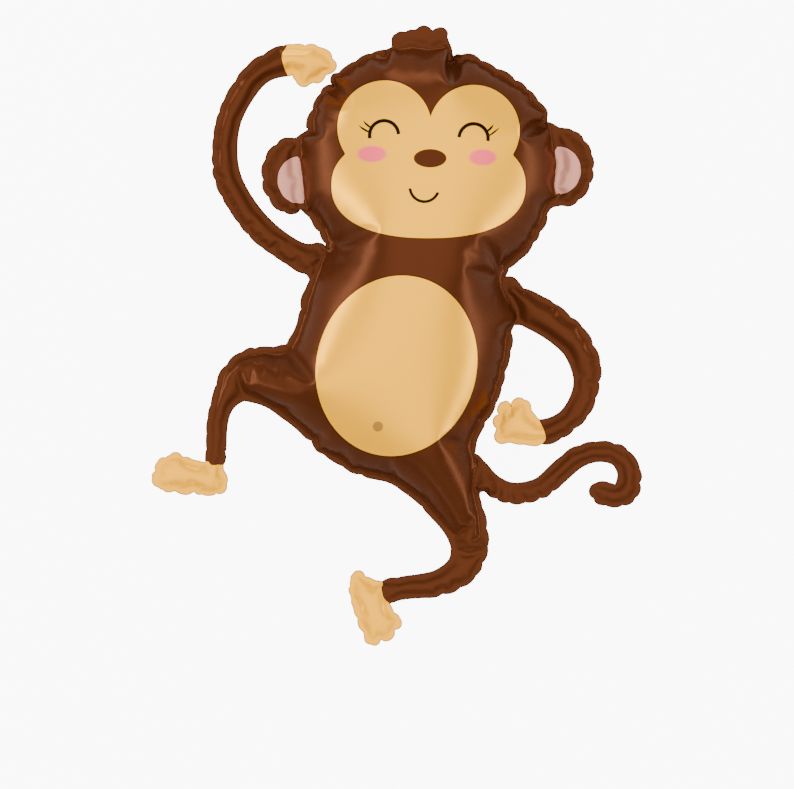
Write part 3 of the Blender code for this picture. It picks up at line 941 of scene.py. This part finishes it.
# Where the hands, the feet and the ears are, in millimetres from the outline's middle.
RAISED_HAND_SPOT = place(-103, 329)
LOWERED_HAND_SPOT = place(156, -110)
LEFT_FOOT_SPOT = place(-250, -176)
RIGHT_FOOT_SPOT = place(-28, -338)
LEFT_EAR_SPOT = place(-135, 193)
RIGHT_EAR_SPOT = place(215, 205)
RAISED_CUFF = (
    place(-133.6, 355.6), place(-140.5, 342.9), place(-137.9, 327.2), place(-133.6, 317.8),
)
LOWERED_CUFF = (
    place(175.1, -104.3), place(179.9, -114.1), place(182.9, -126.3), place(178.2, -134.8),
)
CUFF_STEP = 0.002
HAND_REACH = 0.075
# The distance given to points far from any cream or pink.
FAR_FROM_EDGE = 0.05


def print_edges(sheet, region, flat_now):
    """Distances to the edge of the cream of hands and feet and of the ears' pink, negative inside."""
    crease_points = sheet.flat[sheet.marks == 1]
    middles = sheet.flat[sheet.triangles].mean(1)

    def region_at(spot):
        return region[np.hypot(*(middles - spot).T).argmin()]

    def members(name):
        inside = np.zeros(sheet.count, bool)
        inside[sheet.triangles[region == name].ravel()] = True
        return inside

    to_crease = np.array([np.hypot(*(crease_points - point).T).min() for point in sheet.flat])
    cream = np.full(sheet.count, FAR_FROM_EDGE)
    for spot in (LEFT_FOOT_SPOT, RIGHT_FOOT_SPOT):
        inside = members(region_at(spot))
        cream = np.where(inside, -to_crease, np.minimum(cream, np.maximum(to_crease, 0)))
    for spot, cuff in ((RAISED_HAND_SPOT, RAISED_CUFF), (LOWERED_HAND_SPOT, LOWERED_CUFF)):
        inside = members(region_at(spot))
        line = np.array(cuff)
        line = np.vstack([2 * line[0] - line[1], line, 2 * line[-1] - line[-2]])
        line = smooth_curve(line, CUFF_STEP, False)
        distance = line_distance(flat_now, line)
        nearest = np.array([np.hypot(*(line - point).T).argmin() for point in flat_now])
        along = np.gradient(line, axis=0)[nearest]
        away = flat_now - line[nearest]
        side = np.sign(along[:, 0] * away[:, 1] - along[:, 1] * away[:, 0])
        to_hand = spot - line[len(line) // 2]
        hand_side = np.sign(along[:, 0] * to_hand[1] - along[:, 1] * to_hand[0])
        near = np.hypot(*(flat_now - spot).T) < HAND_REACH
        cream = np.where(inside & near, -distance * side * hand_side, cream)
    ears = np.full(sheet.count, FAR_FROM_EDGE)
    for spot, (centre, half_width, half_height, _, _) in (
        (LEFT_EAR_SPOT, LEFT_EAR_PRINT), (RIGHT_EAR_SPOT, RIGHT_EAR_PRINT),
    ):
        inside = members(region_at(spot))
        across, up = ((flat_now - centre) / (half_width, half_height)).T
        oval = (np.hypot(across, up) - 1) * (half_width + half_height) / 2
        ears = np.where(inside, oval, ears)
    return cream, ears


def point_facts(sheet, region, points, back):
    """What the material needs to know at each point of both sheets."""
    cream, ears = print_edges(sheet, region, points[: sheet.count, :2])
    count = len(points)
    facts = {"cream_edge": np.empty(count), "ear_edge": np.empty(count), "front": np.zeros(count)}
    for name, values in (("cream_edge", cream), ("ear_edge", ears)):
        facts[name][back] = values
        facts[name][: sheet.count] = values
    facts["front"][: sheet.count] = 1.0
    return facts


def refined(sheet, points, triangles, facts):
    """The blown-up sheets with finer triangles, the front's first, their facts, and the seam's edges."""
    names = list(facts)
    packed = np.hstack([points, np.stack([facts[name] for name in names], 1)])
    seam_edges = np.stack([sheet.seam, np.roll(sheet.seam, -1)], 1)
    packed, triangles, seam_edges = subdivide(packed, triangles, seam_edges)
    quarter = len(triangles) // 4
    is_front = np.arange(len(triangles)) % quarter < quarter // 2
    triangles = triangles[np.argsort(~is_front, kind="stable")]
    facts = {name: packed[:, 3 + index] for index, name in enumerate(names)}
    return packed[:, :3], triangles, is_front.sum(), seam_edges, facts


def foil_mesh(points, triangles, facts):
    """The balloon's mesh, with its facts and its places on the print as attributes."""
    mesh = bpy.data.meshes.new("foil_balloon")
    mesh.from_pydata(points.tolist(), [], triangles.tolist())
    mesh.shade_smooth()
    for name, values in facts.items():
        mesh.attributes.new(name, "FLOAT", "POINT").data.foreach_set("value", values)
    spots = np.zeros((len(points), 3))
    spots[:, :2] = points[:, :2]
    mesh.attributes.new("print_place", "FLOAT_VECTOR", "POINT").data.foreach_set("vector", spots.ravel())
    mesh.materials.append(printed_foil())
    return mesh


def balloon(node):
    """The foil balloon in place of the CAD solid, and its seam's height over the ground."""
    outline, creases, seam_height = read_solid(node)
    sheet = Sheet(outline, creases)
    region = sheet.regions()
    pattern = flat_pattern(sheet, region)
    points, triangles, back = blow_up(sheet, pattern, STEPS)
    facts = point_facts(sheet, region, points, back)
    facts["slack"] = np.concatenate([slack(sheet, pattern), np.zeros(len(points) - sheet.count)])
    points, triangles, front_count, seam_edges, facts = refined(sheet, points, triangles, facts)
    points = gather(points, seam_loop(points, seam_edges), facts.pop("slack"))
    points, triangles, facts, rim = add_rim(points, triangles, front_count, seam_edges, facts)
    facts["rim"] = rim
    points[:, 2] = np.maximum(points[:, 2] + seam_height, 0)
    piece = bpy.data.objects.new("foil_balloon", foil_mesh(points, triangles, facts))
    bpy.context.scene.collection.objects.link(piece)
    return piece, seam_height


def floor():
    mesh = bpy.data.meshes.new("floor")
    corners = ((-1, -1), (1, -1), (1, 1), (-1, 1))
    mesh.from_pydata([(x * FLOOR_HALF, y * FLOOR_HALF, 0) for x, y in corners], [], [(0, 1, 2, 3)])
    material = bpy.data.materials.new("floor_paper")
    material.use_nodes = True
    shader = material.node_tree.nodes["Principled BSDF"]
    shader.inputs["Base Color"].default_value = FLOOR_GREY
    shader.inputs["Roughness"].default_value = FLOOR_ROUGHNESS
    shader.inputs["Emission Color"].default_value = (1, 1, 1, 1)
    seen = material.node_tree.nodes.new("ShaderNodeLightPath").outputs["Is Camera Ray"]
    glow = calc(material.node_tree, "MULTIPLY", seen, FLOOR_GLOW)
    material.node_tree.links.new(glow, shader.inputs["Emission Strength"])
    mesh.materials.append(material)
    piece = bpy.data.objects.new("floor", mesh)
    bpy.context.scene.collection.objects.link(piece)
    return piece


def area_light(name, spot, size, power):
    light = bpy.data.lights.new(name, "AREA")
    light.shape = "RECTANGLE"
    light.size, light.size_y = size
    light.energy = power
    piece = bpy.data.objects.new(name, light)
    piece.location = spot
    aim = Vector((0, 0, LIGHT_AIM_HEIGHT)) - Vector(spot)
    piece.rotation_euler = aim.to_track_quat("-Z", "Y").to_euler()
    bpy.context.scene.collection.objects.link(piece)


def studio():
    """A soft bright ceiling that fades to a dark horizon, and long low lights that streak the edges."""
    for name, (spot, size, power) in LIGHTS.items():
        area_light(name, spot, size, power)
    surroundings = bpy.data.worlds.new("studio")
    surroundings.use_nodes = True
    tree = surroundings.node_tree
    split = tree.nodes.new("ShaderNodeSeparateXYZ")
    tree.links.new(tree.nodes.new("ShaderNodeTexCoord").outputs["Generated"], split.inputs[0])
    rise = tree.nodes.new("ShaderNodeMapRange")
    rise.interpolation_type = "SMOOTHSTEP"
    tree.links.new(split.outputs["Z"], rise.inputs["Value"])
    rise.inputs["From Min"].default_value = CEILING_FADE[0]
    rise.inputs["From Max"].default_value = CEILING_FADE[1]
    rise.inputs["To Min"].default_value = CEILING_GLOW[0]
    rise.inputs["To Max"].default_value = CEILING_GLOW[1]
    tree.links.new(rise.outputs[0], tree.nodes["Background"].inputs["Strength"])
    tree.nodes["Background"].inputs["Color"].default_value = (1, 1, 1, 1)
    bpy.context.scene.world = surroundings


def camera(seam_height):
    lens = bpy.data.cameras.new("camera")
    lens.sensor_width = SENSOR_WIDTH
    lens.lens = SENSOR_WIDTH * CAMERA_DISTANCE / (PHOTO_SIZE[0] * METRES_PER_PIXEL)
    lens.clip_end = FARTHEST_SEEN
    piece = bpy.data.objects.new("camera", lens)
    across = (PHOTO_SIZE[0] / 2 - OUTLINE_MIDDLE_PIXEL[0]) * METRES_PER_PIXEL
    up = (OUTLINE_MIDDLE_PIXEL[1] - PHOTO_SIZE[1] / 2) * METRES_PER_PIXEL
    piece.location = (across, up, seam_height + CAMERA_DISTANCE)
    bpy.context.scene.collection.objects.link(piece)
    bpy.context.scene.camera = piece


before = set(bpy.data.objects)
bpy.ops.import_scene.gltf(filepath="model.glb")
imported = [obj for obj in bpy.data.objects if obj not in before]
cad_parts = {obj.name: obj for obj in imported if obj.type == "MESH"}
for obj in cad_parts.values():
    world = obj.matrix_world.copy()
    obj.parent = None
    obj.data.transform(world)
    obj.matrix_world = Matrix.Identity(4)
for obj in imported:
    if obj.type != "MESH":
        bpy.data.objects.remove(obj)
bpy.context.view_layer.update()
piece, seam_height = balloon(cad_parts[NODE])
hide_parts(NODE)
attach(piece, "root")
floor()
studio()
camera(seam_height)
